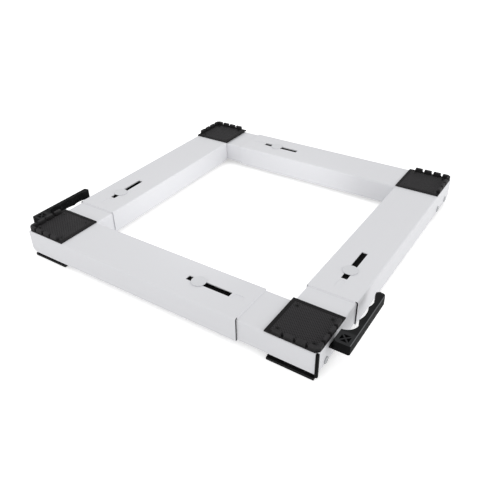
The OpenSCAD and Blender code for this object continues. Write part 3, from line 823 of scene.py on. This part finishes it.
class STAND_OT_axles(bpy.types.Operator):
    """Models the axles with flat heads that have a centre dimple"""

    bl_idname = "stand.axles"
    bl_label = "Axles"

    def execute(self, context):
        steel = finishes()["zinc_steel"]
        axle_r, head_t, turn = 3 * MM, 1.3 * MM, (0, math.pi / 2, 0)
        for corner, (sx, sy) in CORNERS.items():
            node = corner + "_axles"
            low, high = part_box(node)
            outer, inner = (low.x, high.x) if sx < 0 else (high.x, low.x)
            z, head_r = (low.z + high.z) / 2, (high.z - low.z) / 2
            pieces = []
            for y in (low.y + head_r, high.y - head_r):
                head = rod((outer - sx * head_t / 2, y, z), head_r, head_t, sides=48, turn=turn)
                rounded(head, 0.45 * MM, 3)
                pick(head, "faces", lambda co, normal: normal.x * sx > 0.99)
                bpy.ops.mesh.inset(thickness=0.5 * head_r, depth=0)
                bpy.ops.mesh.inset(thickness=0.9 * MM, depth=-0.55 * MM)
                done()
                start = outer - sx * head_t
                shank = rod(((start + inner) / 2, y, z), axle_r, abs(start - inner), sides=32, turn=turn)
                rounded(shank, 0.4 * MM, 1)
                pieces += [head, shank]
            smooth(dress(joined(*pieces), corner + "_headed_axles", node, steel))
        return {"FINISHED"}


class STAND_OT_carried(bpy.types.Operator):
    """Gives every piece of the frame its finish"""

    bl_idname = "stand.carried"
    bl_label = "Rails, blocks and rollers"

    def execute(self, context):
        made = finishes()
        endings = {
            "_rail_sleeve": "powder_coat",
            "_rail_channel": "powder_coat",
            "_rack": "rack_plastic",
            "_corner_block": "block_plastic",
            "_lock_block": "block_plastic",
            "_roller": "moulded_nylon",
            "_lever_bolt": "zinc_steel",
            "_brake_slide": "black_steel",
            "_brake_foot": "smooth_rubber",
            "_pad": "grained_rubber",
            "_pad_screws": "black_steel",
            "_axles": "zinc_steel",
            "_lock_knob": "knob_plastic",
            "_lever": "lever_plastic",
        }
        for node, shown in frame["nodes"].items():
            finish = next(made[name] for ending, name in endings.items() if node.endswith(ending))
            shown.data.materials.clear()
            shown.data.materials.append(finish)
        return {"FINISHED"}


class STAND_OT_stage(bpy.types.Operator):
    """Sets up floor, lights and camera"""

    bl_idname = "stand.stage"
    bl_label = "Floor, lights and camera"

    def execute(self, context):
        scene, stage = context.scene, context.scene.stand_stage
        scene.view_settings.view_transform = "Standard"
        alone()
        bpy.ops.mesh.primitive_plane_add(size=30, location=(0, 0, CAD_BOX[0].z - 0.4 * MM))
        floor = settled()
        floor.name = "white_floor"
        finish = Finish("floor_white")
        matt = finish.add("ShaderNodeBsdfDiffuse", {}, {"Color": (0.90, 0.90, 0.90, 1)})
        glow = finish.add("ShaderNodeEmission", {}, {"Color": (1, 1, 1, 1), "Strength": stage.glow})
        bright = finish.add("ShaderNodeAddShader", {}, [matt, glow])
        floor.data.materials.append(finish.show(finish.add("ShaderNodeMixShader", {}, [finish.seen(), matt, bright])))
        scene.world = bpy.data.worlds.new("white_room")
        room = Finish("white_room", scene.world, "ShaderNodeOutputWorld")
        light = room.add("ShaderNodeBackground", {}, {"Color": (1, 1, 1, 1), "Strength": stage.sky})
        back = room.add("ShaderNodeBackground", {}, {"Color": (1, 1, 1, 1), "Strength": 1.0})
        room.show(room.add("ShaderNodeMixShader", {}, [room.seen(), light, back]))
        self.lamp("front_lamp", (-0.9, -1.9, 0.9), 1.4, stage.key)
        self.lamp("right_lamp", (2.2, 0.2, 0.9), 1.6, stage.side)
        self.lamp("inner_lamp", (0.12, -0.02, 0.11), 0.16, stage.inner, (-0.21, -0.02, 0.03))
        self.camera(stage)
        return {"FINISHED"}

    def lamp(self, name, place, size, power, target=(0, 0, 0)):
        alone()
        bpy.ops.object.light_add(type="AREA", location=place)
        lamp = bpy.context.object
        lamp.name = name
        lamp.visible_camera = False
        lamp.data.size = size
        lamp.data.energy = power
        lamp.rotation_euler = (Vector(target) - Vector(place)).to_track_quat("-Z", "Y").to_euler()

    def camera(self, stage):
        azimuth, elevation, roll = stage.azimuth, stage.elevation, stage.roll
        level = math.cos(elevation)
        back = Vector((math.sin(azimuth) * level, -math.cos(azimuth) * level, math.sin(elevation)))
        right = Vector((math.cos(azimuth), math.sin(azimuth), 0))
        up = back.cross(right)
        tilted = math.cos(roll) * right + math.sin(roll) * up
        upright = math.cos(roll) * up - math.sin(roll) * right
        alone()
        bpy.ops.object.camera_add()
        camera = bpy.context.object
        turn = Matrix((tilted, upright, back)).transposed().to_4x4()
        camera.matrix_world = Matrix.Translation(Vector(stage.target) + back * stage.distance) @ turn
        camera.data.sensor_width = 36
        camera.data.lens = stage.lens
        camera.data.clip_start, camera.data.clip_end = 0.05, 60
        bpy.context.scene.camera = camera


# Add-on


class STAND_PT_panel(bpy.types.Panel):
    """Lists the stand's pieces, sizes and colours"""

    bl_idname = "STAND_PT_panel"
    bl_label = "Washing machine stand"
    bl_space_type = "VIEW_3D"
    bl_region_type = "UI"
    bl_category = "Stand"

    def draw(self, context):
        for operator in OPERATORS:
            self.layout.operator(operator.bl_idname)
        for group in (context.scene.stand_sizes, context.scene.stand_finishes, context.scene.stand_stage):
            box = self.layout.box()
            for name in group.__annotations__:
                box.prop(group, name)


OPERATORS = (
    STAND_OT_carried,
    STAND_OT_sleeve_ends,
    STAND_OT_pads,
    STAND_OT_pad_screws,
    STAND_OT_levers,
    STAND_OT_knobs,
    STAND_OT_axles,
    STAND_OT_stage,
)
CLASSES = (StandSizes, StandFinishes, StandStage, *OPERATORS, STAND_PT_panel)


def register():
    for item in CLASSES:
        bpy.utils.register_class(item)
    bpy.types.Scene.stand_sizes = PointerProperty(type=StandSizes)
    bpy.types.Scene.stand_finishes = PointerProperty(type=StandFinishes)
    bpy.types.Scene.stand_stage = PointerProperty(type=StandStage)


def unregister():
    del bpy.types.Scene.stand_stage
    del bpy.types.Scene.stand_finishes
    del bpy.types.Scene.stand_sizes
    for item in reversed(CLASSES):
        bpy.utils.unregister_class(item)


def main():
    register()
    bpy.ops.stand.carried()
    bpy.ops.stand.sleeve_ends()
    bpy.ops.stand.pads()
    bpy.ops.stand.pad_screws()
    bpy.ops.stand.levers()
    bpy.ops.stand.knobs()
    bpy.ops.stand.axles()
    bpy.ops.stand.stage()


if __name__ == "__main__":
    main()
